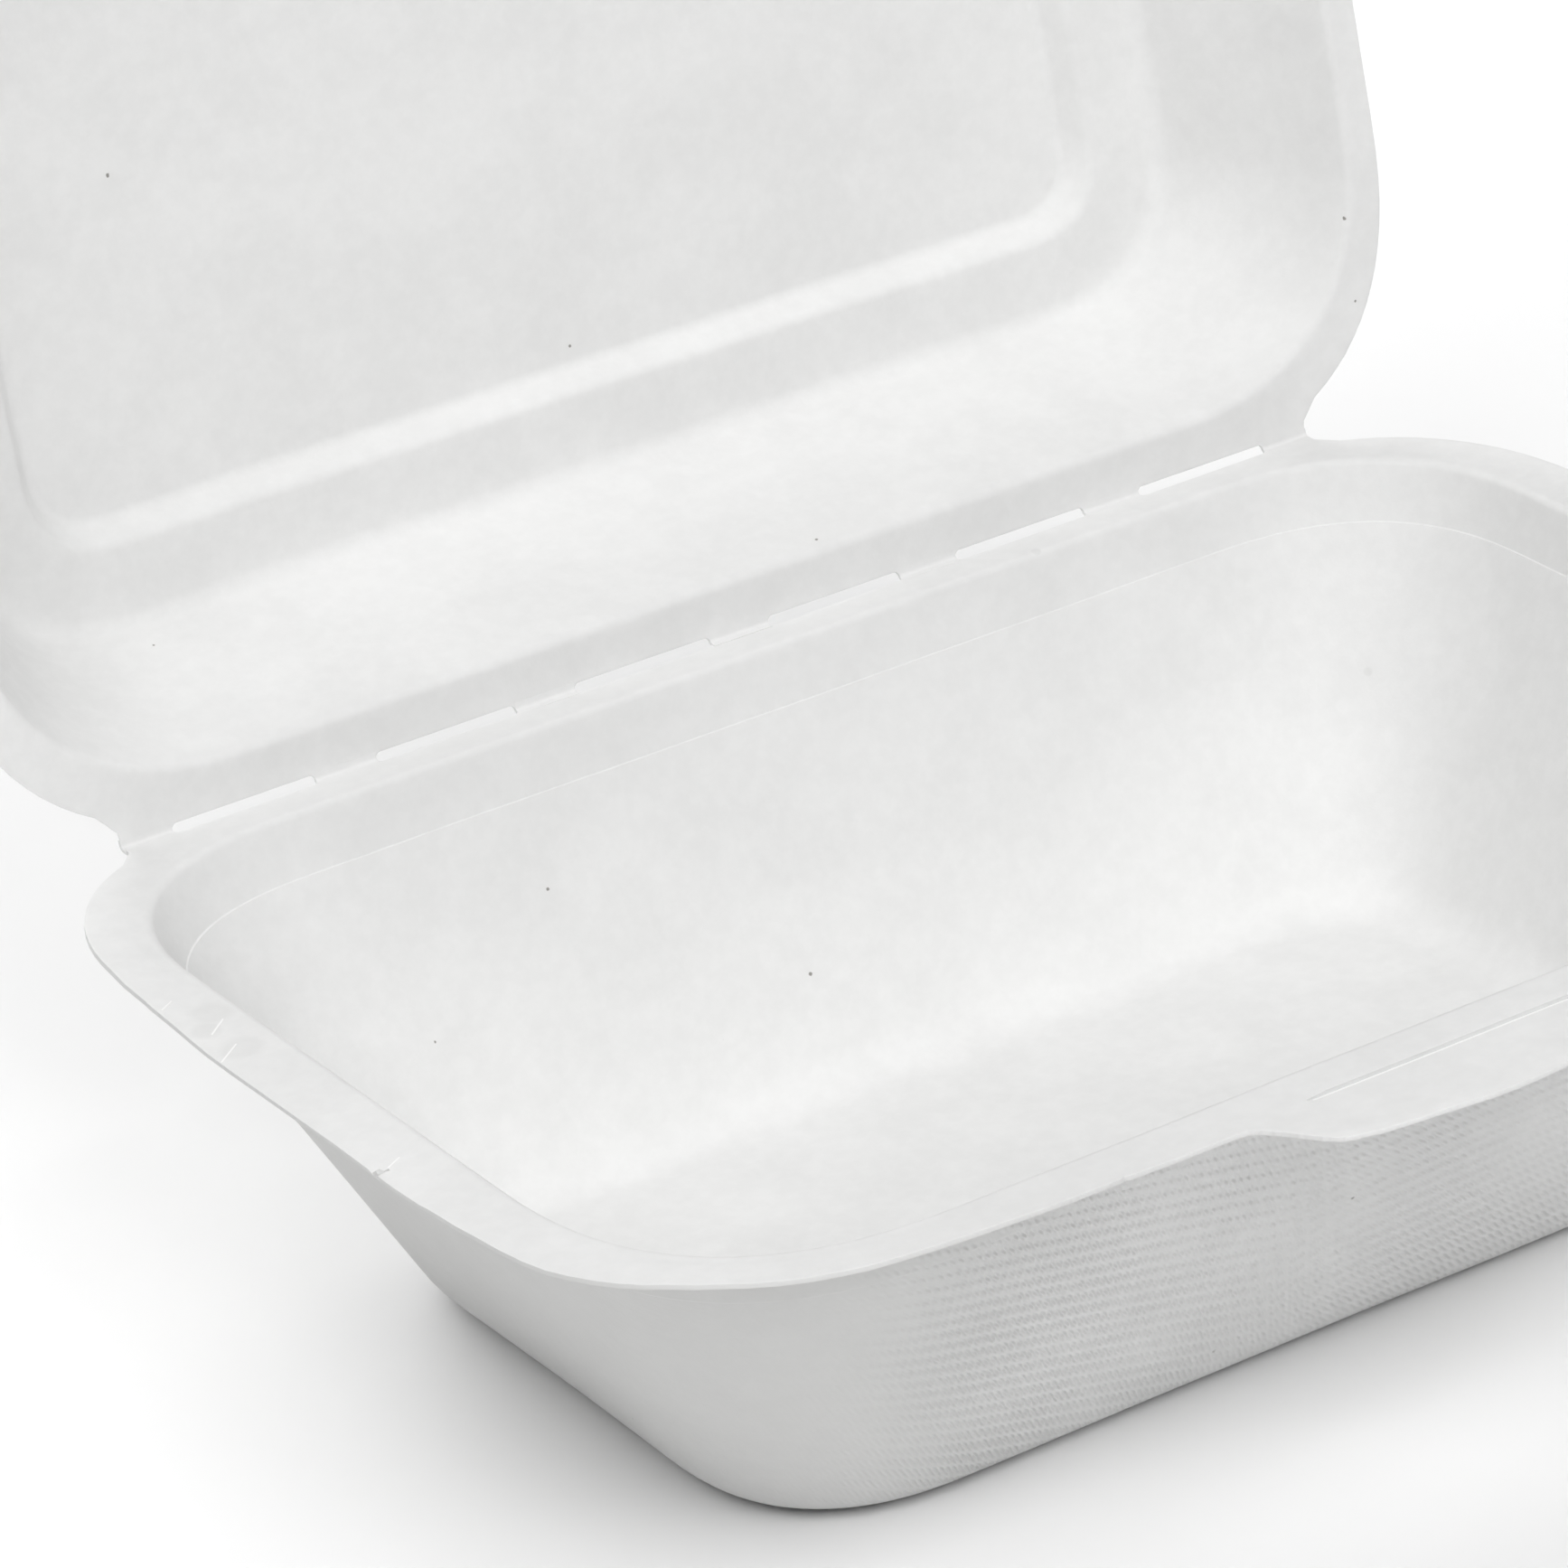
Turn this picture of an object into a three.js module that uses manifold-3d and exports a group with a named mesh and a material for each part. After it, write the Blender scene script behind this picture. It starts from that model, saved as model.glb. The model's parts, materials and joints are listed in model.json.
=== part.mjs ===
// Hinged takeaway food box of moulded plant fibre: a base tray and a lid, pressed as one sheet and
// joined by a perforated fold. Millimetres, +Z up. The origin is the middle of the flat underside,
// X runs along the fold and -Y is the front, where the lid locks.
import * as THREE from 'three';
import { mergeVertices } from 'three/addons/utils/BufferGeometryUtils.js';
import Module from 'manifold-3d';

const wasm = await Module();
wasm.setup();

const radians = THREE.MathUtils.degToRad;

// Rim, shared by both halves so that they meet edge to edge when closed
const rimWidth = 234.6;
const rimDepth = 161.7;
const foldLength = 195;
const backCornerReach = 42;
const frontCornerReach = 50;
const cornerPower = 2.5;
const notchDepth = 2;

// Base tray
const baseSheet = 0.9;
const baseDepth = 56;
const baseSideFlange = 9.3;
const baseFrontFlange = 8;
const baseBackFlange = 6.4;
const stackBandDepth = 8;
const stackBandDraft = 12;
const stackLedge = 1.3;
const baseWallDraft = 25;
const baseLipRadius = 1.6;
const baseFloorRadius = 6;

// Lid
const lidSheet = 0.5;
const lidShoulderDepth = 29;
const lidSideFlange = 5;
const lidFrontFlange = 7;
const lidBackFlange = 7.4;
const lidWallDraft = 24;
const lidLipRadius = 1.6;
const lidShoulderRadius = 3.5;
const lidShoulderWidth = 11.5;
const lidPanelStep = 4;
const lidPanelDraft = 34;
const lidPanelRadius = 2;

// Lock at the front: a wider tab on the base with a slit, and a tongue on the lid
const tabReach = 11.5;
const tabWidth = 47;
const tabFlare = 11;
const slitLength = 45;
const slitWidth = 1.5;
const slitSetback = 1.2;
const slitPoint = 3;
const tongueClearance = 0.4;
const tongueHeight = 4.5;
const tongueTaper = 4;

// Perforated fold
const slotCount = 6;
const slotPitch = 31.5;
const slotLength = 22;
const slotWidth = 1.6;
const foldGap = 0.3;
const openAngle = 100;

// Fineness of the curves
const cornerSteps = 12;
const filletSteps = 4;
const flareSteps = 8;

// The floor's middle is the origin, so the fold's place follows from the base's section
const wallSlope = (draft) => Math.tan(radians(draft));
const baseWallInset = stackBandDepth * wallSlope(stackBandDraft) + stackLedge
    + (baseDepth - baseSheet - stackBandDepth) * wallSlope(baseWallDraft);
const floorBackSetback = baseBackFlange + baseWallInset;
const floorFrontSetback = rimDepth - baseFrontFlange - baseWallInset;
const foldY = (floorBackSetback + floorFrontSetback) / 2;

// A corner of the rim: a squarer curve than an arc, from one straight edge to the next
function cornerPoints(centre, reach, quarter) {
    const points = [];
    for (let i = 0; i <= cornerSteps; i++) {
        const angle = (i / cornerSteps) * Math.PI / 2;
        const along = reach * Math.cos(angle) ** (2 / cornerPower);
        const across = reach * Math.sin(angle) ** (2 / cornerPower);
        const local = new THREE.Vector2(along, across);
        points.push(local.rotateAround(new THREE.Vector2(), quarter * Math.PI / 2).add(centre));
    }
    return points;
}

// An outline parallel to the rim, set in by the flange widths and by a further inset.
// It is drawn with the fold on y = 0 and the tray on the -Y side.
function trayOutline(flange, inset) {
    const halfWidth = rimWidth / 2 - flange.side - inset;
    const back = -flange.back - inset;
    const front = -rimDepth + flange.front + inset;
    const backReach = Math.max(backCornerReach - flange.side - inset, 1);
    const frontReach = Math.max(frontCornerReach - flange.side - inset, 1);
    const corner = (x, y, reach, quarter) => cornerPoints(new THREE.Vector2(x, y), reach, quarter);
    return [
        ...corner(halfWidth - backReach, back - backReach, backReach, 0),
        ...corner(backReach - halfWidth, back - backReach, backReach, 1),
        ...corner(frontReach - halfWidth, front + frontReach, frontReach, 2),
        ...corner(halfWidth - frontReach, front + frontReach, frontReach, 3),
    ];
}

// Rounds one corner of a section, given as points of inset and height
function filletPoints(before, corner, after, radius) {
    const toBefore = before.clone().sub(corner).normalize();
    const toAfter = after.clone().sub(corner).normalize();
    const halfAngle = Math.acos(toBefore.dot(toAfter)) / 2;
    const bisector = toBefore.clone().add(toAfter).normalize();
    const centre = corner.clone().addScaledVector(bisector, radius / Math.sin(halfAngle));
    const start = corner.clone().addScaledVector(toBefore, radius / Math.tan(halfAngle)).sub(centre);
    const end = corner.clone().addScaledVector(toAfter, radius / Math.tan(halfAngle)).sub(centre);
    const sweep = Math.atan2(start.cross(end), start.dot(end));
    const points = [];
    for (let i = 0; i <= filletSteps; i++) {
        const turned = start.clone().rotateAround(new THREE.Vector2(), sweep * i / filletSteps);
        points.push(turned.add(centre));
    }
    return points;
}

// The section of a formed wall: sharp corners with a radius each, from the flange to the floor
function roundedSection(corners) {
    const last = corners.length - 1;
    return corners.flatMap(({ at, radius }, i) => (i === 0 || i === last || !radius
        ? [at.clone()]
        : filletPoints(corners[i - 1].at, at, corners[i + 1].at, radius)));
}

// The other face of the sheet: every point moved square to the section, down and outwards
function offsetSection(section, distance) {
    return section.map((point, i) => {
        const before = section[Math.max(i - 1, 0)];
        const after = section[Math.min(i + 1, section.length - 1)];
        const incoming = point.clone().sub(before);
        const outgoing = after.clone().sub(point);
        const first = (i === 0 ? outgoing : incoming).normalize();
        const second = (i === section.length - 1 ? incoming : outgoing).normalize();
        const mitre = first.clone().add(second).normalize();
        const stretch = distance / Math.max(mitre.dot(first), 0.5);
        return point.clone().add(new THREE.Vector2(mitre.y, -mitre.x).multiplyScalar(stretch));
    });
}

// A closed solid through one outline per point of the section, flat at both ends
function loftedSolid(flange, section) {
    const rings = section.map(({ x: inset, y: height }) => trayOutline(flange, inset)
        .map((point) => new THREE.Vector3(point.x, point.y, height)));
    const count = rings[0].length;
    const positions = rings.flat().flatMap((point) => point.toArray());
    const indices = [];
    for (let ring = 0; ring < rings.length - 1; ring++) {
        for (let i = 0; i < count; i++) {
            const next = (i + 1) % count;
            const upper = ring * count;
            const lower = upper + count;
            indices.push(upper + i, lower + i, lower + next);
            indices.push(upper + i, lower + next, upper + next);
        }
    }
    const bottom = (rings.length - 1) * count;
    const cap = THREE.ShapeUtils.triangulateShape(trayOutline(flange, 0), []);
    for (const [a, b, c] of cap) {
        indices.push(a, b, c);
    }
    const floor = THREE.ShapeUtils.triangulateShape(trayOutline(flange, section.at(-1).x), []);
    for (const [a, b, c] of floor) {
        indices.push(bottom + a, bottom + c, bottom + b);
    }
    const geometry = new THREE.BufferGeometry();
    geometry.setAttribute('position', new THREE.Float32BufferAttribute(positions, 3));
    geometry.setIndex(indices);
    return toSolid(geometry);
}

function toSolid(source) {
    const bare = source.clone();
    bare.deleteAttribute('normal');
    bare.deleteAttribute('uv');
    const merged = mergeVertices(bare, 1e-4);
    return new wasm.Manifold(new wasm.Mesh({
        numProp: 3,
        vertProperties: new Float32Array(merged.attributes.position.array),
        triVerts: new Uint32Array(merged.index.array),
    }));
}

function toGeometry(solid) {
    const { vertProperties, triVerts } = solid.getMesh();
    const geometry = new THREE.BufferGeometry();
    geometry.setAttribute('position', new THREE.BufferAttribute(vertProperties, 3));
    geometry.setIndex(new THREE.BufferAttribute(triVerts, 1));
    const faceted = geometry.toNonIndexed();
    faceted.computeVertexNormals();
    return faceted;
}

function extruded(points, bottom, top) {
    const geometry = new THREE.ExtrudeGeometry(new THREE.Shape(points), {
        depth: top - bottom,
        bevelEnabled: false,
    });
    return toSolid(geometry.translate(0, 0, bottom));
}

// The rim's outline with the small notch at each end of the fold
function rimOutline() {
    const halfFold = foldLength / 2;
    const edge = -foldGap / 2;
    const rim = trayOutline({ side: 0, front: 0, back: 0 }, 0);
    const beyondNotch = rim.filter((point) => Math.abs(point.x) > halfFold || point.y < -notchDepth);
    const right = beyondNotch.filter((point) => point.x > 0).sort((a, b) => a.y - b.y);
    const left = beyondNotch.filter((point) => point.x < 0).sort((a, b) => b.y - a.y);
    return [
        ...right,
        new THREE.Vector2(halfFold, -notchDepth),
        new THREE.Vector2(halfFold, edge),
        new THREE.Vector2(-halfFold, edge),
        new THREE.Vector2(-halfFold, -notchDepth),
        ...left,
    ];
}

// The front tab: it leaves the rim in an S-curve at each side and runs straight between
function tabOutline() {
    const half = tabWidth / 2;
    const root = -rimDepth + baseFrontFlange / 2;
    const tip = -rimDepth - tabReach;
    const side = (sign) => {
        const points = [];
        for (let i = 0; i <= flareSteps; i++) {
            const share = i / flareSteps;
            const smooth = share * share * (3 - 2 * share);
            points.push(new THREE.Vector2(
                sign * (half + tabFlare * (1 - share)),
                THREE.MathUtils.lerp(-rimDepth, tip, smooth),
            ));
        }
        return points;
    };
    return [
        new THREE.Vector2(-half - tabFlare, root),
        ...side(-1),
        ...side(1).reverse(),
        new THREE.Vector2(half + tabFlare, root),
    ];
}

// The slit is a long lens with a pointed end at each side
function slitOutline() {
    const half = slitLength / 2;
    const halfWidth = slitWidth / 2;
    const middle = -rimDepth + slitSetback;
    return [
        new THREE.Vector2(-half, middle),
        new THREE.Vector2(slitPoint - half, middle - halfWidth),
        new THREE.Vector2(half - slitPoint, middle - halfWidth),
        new THREE.Vector2(half, middle),
        new THREE.Vector2(half - slitPoint, middle + halfWidth),
        new THREE.Vector2(slitPoint - half, middle + halfWidth),
    ];
}

// One perforation of the fold, with round ends
function slotOutline(middle) {
    const radius = slotWidth / 2;
    const reach = slotLength / 2 - radius;
    const path = new THREE.Shape();
    path.absarc(middle + reach, 0, radius, -Math.PI / 2, Math.PI / 2, false);
    path.absarc(middle - reach, 0, radius, Math.PI / 2, -Math.PI / 2, false);
    return path.extractPoints(filletSteps).shape.slice(0, -1);
}

function cutSlots(sheet) {
    let cut = sheet;
    for (let i = 0; i < slotCount; i++) {
        const middle = (i - (slotCount - 1) / 2) * slotPitch;
        cut = cut.subtract(extruded(slotOutline(middle), -2 * baseSheet, 2 * baseSheet));
    }
    return cut;
}

// A tray of one even sheet: the flat rim, plus the pressed bowl, less the hollow
function pressedTray({ flange, sheet, corners, rim }) {
    const inner = roundedSection(corners);
    const outer = offsetSection(inner, sheet);
    const mouth = new THREE.Vector2(inner[0].x, sheet);
    const collar = new THREE.Vector2(outer[0].x, -sheet / 2);
    const hollow = loftedSolid(flange, [mouth, ...inner]);
    const bowl = loftedSolid(flange, [collar, ...outer]);
    return cutSlots(rim.add(bowl).subtract(hollow));
}

function corner(inset, height, radius = 0) {
    return { at: new THREE.Vector2(inset, height), radius };
}

// Base tray: a steep band below the rim lets stacked boxes part, then a ledge and the drafted wall
function baseTray() {
    const bandInset = stackBandDepth * wallSlope(stackBandDraft);
    const floorHeight = baseSheet - baseDepth;
    const corners = [
        corner(-baseLipRadius, 0),
        corner(0, 0, baseLipRadius),
        corner(bandInset, -stackBandDepth),
        corner(bandInset + stackLedge, -stackBandDepth - stackLedge / 3),
        corner(baseWallInset, floorHeight, baseFloorRadius),
        corner(baseWallInset + 2 * baseFloorRadius, floorHeight),
    ];
    const rim = extruded(rimOutline(), -baseSheet, 0).add(extruded(tabOutline(), -baseSheet, 0));
    const flange = { side: baseSideFlange, front: baseFrontFlange, back: baseBackFlange };
    const tray = pressedTray({ flange, sheet: baseSheet, corners, rim });
    return toGeometry(tray.subtract(extruded(slitOutline(), -2 * baseSheet, baseSheet)));
}

// The tongue hangs from the lid's front edge and drops through the slit
function tongue() {
    const half = slitLength / 2 - slitPoint - tongueClearance;
    const outline = [
        new THREE.Vector2(-half, -lidSheet / 2),
        new THREE.Vector2(half, -lidSheet / 2),
        new THREE.Vector2(half - tongueTaper, tongueHeight),
        new THREE.Vector2(tongueTaper - half, tongueHeight),
    ];
    const thickness = slitWidth - 2 * tongueClearance;
    const geometry = new THREE.ExtrudeGeometry(new THREE.Shape(outline), {
        depth: thickness,
        bevelEnabled: false,
    });
    geometry.rotateX(Math.PI / 2).translate(0, slitSetback - rimDepth + thickness / 2, 0);
    return toSolid(geometry);
}

// Lid: drafted wall, flat shoulder and a panel pressed further out than the shoulder
function lid() {
    const wallInset = lidShoulderDepth * wallSlope(lidWallDraft);
    const panelInset = wallInset + lidShoulderWidth;
    const panelHeight = -lidShoulderDepth - lidPanelStep;
    const panelFloor = panelInset + lidPanelStep * wallSlope(lidPanelDraft);
    const corners = [
        corner(-lidLipRadius, 0),
        corner(0, 0, lidLipRadius),
        corner(wallInset, -lidShoulderDepth, lidShoulderRadius),
        corner(panelInset, -lidShoulderDepth, lidPanelRadius),
        corner(panelFloor, panelHeight, lidPanelRadius),
        corner(panelFloor + 2 * lidPanelRadius, panelHeight),
    ];
    const rim = extruded(rimOutline(), -lidSheet, 0).add(tongue());
    const flange = { side: lidSideFlange, front: lidFrontFlange, back: lidBackFlange };
    return toGeometry(pressedTray({ flange, sheet: lidSheet, corners, rim }));
}

function fibreMaterial(shade) {
    return new THREE.MeshStandardMaterial({ color: shade, roughness: 0.92, metalness: 0 });
}

function namedMesh(name, geometry, shade) {
    const mesh = new THREE.Mesh(geometry, fibreMaterial(shade));
    mesh.name = name;
    return mesh;
}

const group = new THREE.Group();

// The base stands on its underside, with its rim's upper face at the base's full depth
const base = namedMesh('base_tray', baseTray(), 0xececea);
base.position.set(0, foldY, baseDepth);
group.add(base);

// The lid turns about the fold, half the gap above the rim. Shut, it lies face down on the base, so
// its own top and bottom are exchanged by a half turn about Y.
const foldAxis = new THREE.Group();
foldAxis.position.set(0, foldY, baseDepth + foldGap / 2);
foldAxis.rotation.x = -radians(openAngle);
const lidMesh = namedMesh('lid', lid(), 0xf0f0ee);
lidMesh.position.z = foldGap / 2;
lidMesh.rotation.y = Math.PI;
foldAxis.add(lidMesh);
group.add(foldAxis);

export default group;
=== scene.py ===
"""Takeaway food box of moulded plant fibre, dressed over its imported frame.

The base tray and the lid are one pressed sheet in the real box. Both are drawn here as fine sheets
with the same sections as the frame's solids, joined by the bridges of the perforated fold.
"""
import json
import logging
from collections.abc import Callable
from dataclasses import dataclass, field
from enum import Enum
from math import acos, cos, hypot, pi, radians, sin, sqrt, tan

import bpy
import numpy as np
from mathutils import Matrix, Vector


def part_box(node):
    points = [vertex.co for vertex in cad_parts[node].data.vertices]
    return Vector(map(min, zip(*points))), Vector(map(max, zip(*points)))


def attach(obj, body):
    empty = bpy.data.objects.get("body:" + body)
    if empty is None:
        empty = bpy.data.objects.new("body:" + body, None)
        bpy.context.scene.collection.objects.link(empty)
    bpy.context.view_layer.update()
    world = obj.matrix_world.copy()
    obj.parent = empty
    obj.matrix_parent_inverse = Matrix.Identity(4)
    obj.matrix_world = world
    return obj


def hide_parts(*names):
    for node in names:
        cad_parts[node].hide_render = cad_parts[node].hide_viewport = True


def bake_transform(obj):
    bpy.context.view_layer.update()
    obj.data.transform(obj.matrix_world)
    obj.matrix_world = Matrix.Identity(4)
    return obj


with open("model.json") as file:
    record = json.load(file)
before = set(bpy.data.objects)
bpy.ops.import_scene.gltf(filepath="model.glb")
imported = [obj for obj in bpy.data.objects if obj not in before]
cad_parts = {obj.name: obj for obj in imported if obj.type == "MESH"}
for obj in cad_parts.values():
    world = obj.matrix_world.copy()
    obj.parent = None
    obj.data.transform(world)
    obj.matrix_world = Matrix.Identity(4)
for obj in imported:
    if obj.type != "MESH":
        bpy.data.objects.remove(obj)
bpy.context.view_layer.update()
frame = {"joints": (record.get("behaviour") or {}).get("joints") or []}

LOG = logging.getLogger("food_box")
MM = 0.001
SHEET_PLACE = "sheet_place"
Colour = tuple[float, float, float, float]
Pair = tuple[float, float]
Material = bpy.types.Material
Object = bpy.types.Object


# Shading helpers


def node_operator(operation: str, swapped: bool = False) -> Callable:
    """Makes an operator of Shade.

    Args:
        operation: Operation of the Math node.
        swapped: Whether the other value comes first.

    Returns:
        The method.
    """

    def method(self: "Shade", other: "Shade | float") -> "Shade":
        """Adds one Math node and returns its result."""
        first, second = (other, self) if swapped else (self, other)
        return self.paint.node("ShaderNodeMath", {"operation": operation}, {0: first, 1: second})

    return method


class Shade:
    """A number or colour socket that takes arithmetic, also with a number on the left."""

    def __init__(self, paint: "Paint", socket: bpy.types.NodeSocket) -> None:
        """Wraps a socket.

        Args:
            paint: The node tree that the socket is in.
            socket: The output socket.
        """
        self.paint = paint
        self.socket = socket

    __add__, __radd__ = node_operator("ADD"), node_operator("ADD", swapped=True)
    __sub__, __rsub__ = node_operator("SUBTRACT"), node_operator("SUBTRACT", swapped=True)
    __mul__, __rmul__ = node_operator("MULTIPLY"), node_operator("MULTIPLY", swapped=True)
    most, above = node_operator("MAXIMUM"), node_operator("GREATER_THAN")

    def sine(self) -> "Shade":
        """Sine of the value in radians."""
        return self.paint.node("ShaderNodeMath", {"operation": "SINE"}, {0: self})

    def smooth(self, low: float, high: float) -> "Shade":
        """A smooth step, 0 at low and 1 at high."""
        return self.paint.node(
            "ShaderNodeMapRange",
            {"interpolation_type": "SMOOTHSTEP"},
            {"Value": self, "From Min": low, "From Max": high, "To Min": 0.0, "To Max": 1.0},
            "Result",
        )


class Paint:
    """The node tree of one material."""

    def __init__(self, name: str) -> None:
        """Makes an empty material; finish adds its output.

        Args:
            name: The material's name.
        """
        self.material = bpy.data.materials.new(name)
        self.material.use_nodes = True
        self.tree = self.material.node_tree
        self.tree.nodes.clear()

    def node(self, kind: str, settings: dict, inputs: dict, output: str | int = 0) -> Shade:
        """Adds a node.

        Args:
            kind: The node's type.
            settings: Properties of the node, set before its sockets.
            inputs: Socket name or number to a value or a Shade.
            output: Name or number of the output that is returned.

        Returns:
            The chosen output.
        """
        made = self.tree.nodes.new(kind)
        for name, value in settings.items():
            setattr(made, name, value)
        for name, value in inputs.items():
            if isinstance(value, Shade):
                self.tree.links.new(value.socket, made.inputs[name])
            else:
                made.inputs[name].default_value = value
        return Shade(self, made.outputs[output])

    def vector_math(self, operation: str, first: "Shade | tuple", second: "Shade | tuple") -> Shade:
        """One Vector Math node with a vector result."""
        return self.node("ShaderNodeVectorMath", {"operation": operation}, {0: first, 1: second})

    def dot(self, first: "Shade | tuple", second: "Shade | tuple") -> Shade:
        """Dot product of two vectors."""
        inputs = {0: first, 1: second}
        return self.node("ShaderNodeVectorMath", {"operation": "DOT_PRODUCT"}, inputs, "Value")

    def length(self, vector: Shade) -> Shade:
        """Length of a vector."""
        return self.node("ShaderNodeVectorMath", {"operation": "LENGTH"}, {0: vector}, "Value")

    def noise(self, place: Shade, grain: float, detail: float = 2.0, rough: float = 0.5) -> Shade:
        """Noise from 0 to 1 whose blobs are about as large as grain, in metres."""
        inputs = {"Vector": place, "Scale": 1 / grain, "Detail": detail, "Roughness": rough}
        return self.node("ShaderNodeTexNoise", {}, inputs, 0)

    def blend(self, share: Shade, first: "Shade | tuple", second: "Shade | tuple") -> Shade:
        """A colour between two, by share."""
        inputs = {0: share, 6: first, 7: second}
        settings = {"data_type": "RGBA", "blend_type": "MIX"}
        return self.node("ShaderNodeMix", settings, inputs, 2)

    def bump(self, height: Shade, distance: float, strength: float, under: Shade | None) -> Shade:
        """A Bump node over an earlier normal."""
        inputs = {"Height": height, "Distance": distance, "Strength": strength}
        if under is not None:
            inputs["Normal"] = under
        return self.node("ShaderNodeBump", {}, inputs)

    def finish(self, inputs: dict) -> Material:
        """Closes the tree with the shader and the output."""
        shader = self.node("ShaderNodeBsdfPrincipled", {}, inputs)
        output = self.tree.nodes.new("ShaderNodeOutputMaterial")
        self.tree.links.new(shader.socket, output.inputs["Surface"])
        return self.material


@dataclass(frozen=True)
class Speck:
    """A fleck of bark, or a patch of painted shade, at a known place on the sheet, in millimetres."""

    x: float
    y: float
    z: float
    radius: float


@dataclass(frozen=True)
class Crease:
    """A thin raised line in the flange, painted paler as a painted highlight, between two places seen
    from above, in millimetres.
    """

    start: Pair
    end: Pair
    width: float = 0.22


class Face(Enum):
    """The two faces of a pressed sheet."""

    SMOOTH = "smooth"
    SCREENED = "screened"


@dataclass(frozen=True)
class FibreFinish:
    """Bleached plant fibre, smooth on one face and marked by the forming screen on the other.

    Lengths are in metres. fleck_radius and stain_radius are shares of their cells, and the known
    specks, the patches of painted shade and the creases are in millimetres. The base's outside also
    gets a painted shade towards -X, and the creases a painted highlight.
    """

    name: str
    face: Face
    pale: Colour = (0.83, 0.83, 0.825, 1.0)
    dull: Colour = (0.775, 0.775, 0.77, 1.0)
    bark: Colour = (0.2, 0.19, 0.17, 1.0)
    # Colour of the real stains, also used for painted shade.
    stain_and_shade: Colour = (0.62, 0.62, 0.61, 1.0)
    # Pale colour painted along the creases and the slit's edge as a painted highlight.
    crease_highlight: Colour = (0.97, 0.97, 0.965, 1.0)
    roughness: float = 0.72
    roughness_range: float = 0.08
    specular: float = 0.3
    sheen: float = 0.08
    cloud_grain: float = 0.016
    cloud_share: float = 0.55
    fibre_grain: float = 0.0011
    fibre_depth: float = 0.00003
    wave_grain: float = 0.009
    wave_depth: float = 0.00025
    crease_depth: float = 0.00005
    fleck_cell: float = 0.012
    fleck_radius: float = 0.022
    fleck_share: float = 0.55
    fleck_strength: float = 0.85
    stain_cell: float = 0.03
    stain_radius: float = 0.03
    stain_share: float = 0.6
    stain_strength: float = 0.3
    # Strength of the painted shade where the left flange droops.
    droop_shade_strength: float = 0.8
    ragged_grain: float = 0.0005
    ragged_reach: float = 0.00035
    screen_depth: float = 0.00018
    straight_waves: tuple = ((0.725, -0.508), (0.716, -0.916))
    askew_waves: tuple = ((0.911, -0.210), (1.019, -0.588))
    straight_rows: float = 0.2
    askew_rows: float = 0.4
    askew_edge: Pair = (-0.03, 0.01)
    sway_grain: float = 0.06
    sway_reach: float = 0.0005
    worn_grain: float = 0.02
    specks: tuple[Speck, ...] = ()
    # Patches of painted shade where the left flange droops.
    droop_painted_shade: tuple[Speck, ...] = ()
    creases: tuple[Crease, ...] = ()
    smooth_beyond: float | None = None
    smooth_lean: float = 0.184
    smooth_edge: Pair = (-0.006, 0.02)
    smooth_marks: float = 0.08
    # Painted shade: the base's outer wall is darkened towards -X, over the front-left corner and the
    # left wall; where it fades, in metres, and its strength.
    painted_shade_edge: Pair = (-0.09, -0.02)
    painted_shade_strength: float = 0.5

    def clouds(self, paint: Paint, place: Shade) -> Shade:
        """Slow and fast unevenness of the pulp, 0 to 1."""
        slow = paint.noise(place, self.cloud_grain, 3.0, 0.6).smooth(0.35, 0.68)
        fast = paint.noise(place, self.fibre_grain * 2.2, 3.0, 0.65).smooth(0.3, 0.75)
        return slow * self.cloud_share + fast * (1 - self.cloud_share)

    def scattered(self, paint: Paint, place: Shade, cell: float, radius: float, share: float) -> Shade:
        """Round marks at random places.

        Args:
            paint: The material's nodes.
            place: Coordinates in metres.
            cell: Size of the cell that holds one mark at most.
            radius: Radius of a mark as a share of the cell.
            share: Share of the cells that hold a mark.

        Returns:
            1 inside a mark, falling to 0 at its edge.
        """
        settings = {"voronoi_dimensions": "3D", "feature": "F1"}
        inputs = {"Vector": place, "Scale": 1 / cell}
        distance = paint.node("ShaderNodeTexVoronoi", settings, inputs, "Distance")
        shade = paint.node("ShaderNodeTexVoronoi", settings, inputs, "Color")
        chosen = paint.node("ShaderNodeSeparateColor", {}, {0: shade}, 0).above(1 - share)
        return (1 - distance.smooth(radius * 0.55, radius)) * chosen

    def known_marks(self, paint: Paint, place: Shade, marks: tuple[Speck, ...]) -> Shade:
        """Slightly ragged marks at known places, 0 to 1."""
        ragged = (paint.noise(place, self.ragged_grain, 1.0) - 0.5) * self.ragged_reach
        mask = None
        for mark in marks:
            centre = (mark.x * MM, mark.y * MM, mark.z * MM)
            away = paint.length(paint.vector_math("SUBTRACT", place, centre)) + ragged
            here = 1 - away.smooth(mark.radius * MM * 0.6, mark.radius * MM * 1.2)
            mask = here if mask is None else mask.most(here)
        return mask

    def crease_lines(self, paint: Paint, place: Shade) -> Shade:
        """The thin raised lines, 0 to 1. They are placed from above, so height doesn't matter."""
        level = paint.vector_math("MULTIPLY", place, (1.0, 1.0, 0.0))
        mask = None
        for crease in self.creases:
            start = Vector((*crease.start, 0.0)) * MM
            run = Vector((*crease.end, 0.0)) * MM - start
            offset = paint.vector_math("SUBTRACT", level, tuple(start))
            share = paint.dot(offset, tuple(run / run.length_squared))
            held = paint.node("ShaderNodeClamp", {}, {0: share, 1: 0.0, 2: 1.0})
            nearest = paint.node(
                "ShaderNodeVectorMath", {"operation": "SCALE"}, {0: tuple(run), "Scale": held}
            )
            away = paint.length(paint.vector_math("SUBTRACT", offset, nearest))
            here = 1 - away.smooth(0.0, crease.width * MM)
            mask = here if mask is None else mask.most(here)
        return mask

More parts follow.
